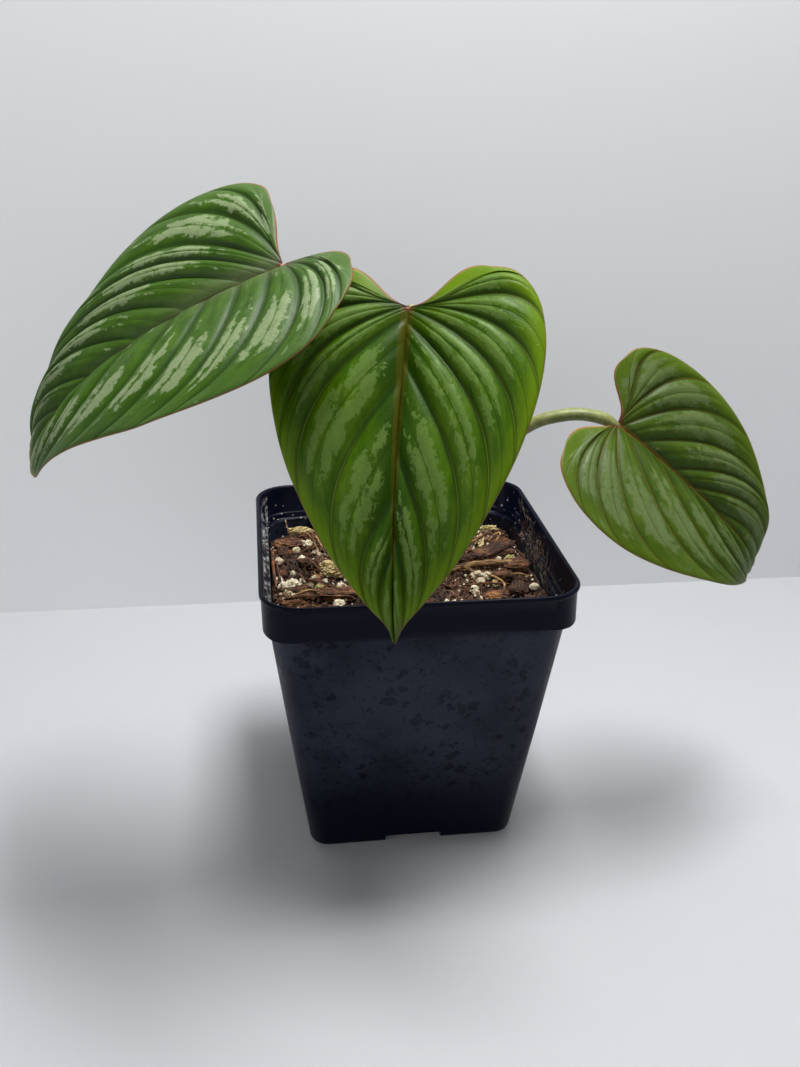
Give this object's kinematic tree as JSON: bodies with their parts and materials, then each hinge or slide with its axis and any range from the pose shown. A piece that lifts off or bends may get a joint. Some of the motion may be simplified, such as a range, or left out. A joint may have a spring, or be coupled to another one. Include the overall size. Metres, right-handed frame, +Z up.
{
  "type": "potted philodendron mamei",
  "caption": "Young philodendron mamei: silver-marked, ribbed heart leaves on arched petioles, rooted in bark and perlite mix in a square black nursery pot.",
  "frame": {"origin": "centre of the pot's underside, on the surface that it stands on", "axes": "+Z up, +X to the right seen from the front, +Y to the back; the middle leaf hangs over the front, on the -Y side"},
  "size_m": [0.2618, 0.1366, 0.2325],
  "materials": {
    "pot": "satin blue-black moulded plastic with dried water spots",
    "potting_mix": "dark brown bark and coir with white perlite",
    "stem": "green-brown, ringed with leaf scars",
    "petiole": "smooth yellow-green, slightly glossy",
    "blade": "satin green with silver-grey marks between sunken veins"
  },
  "bodies": {
    "root": {"pot": "pot", "potting_mix": "potting_mix", "stem": "stem", "petiole_left": "petiole", "petiole_centre": "petiole", "petiole_right": "petiole", "blade_left": "blade", "blade_centre": "blade", "blade_right": "blade"}
  },
  "joints": []
}
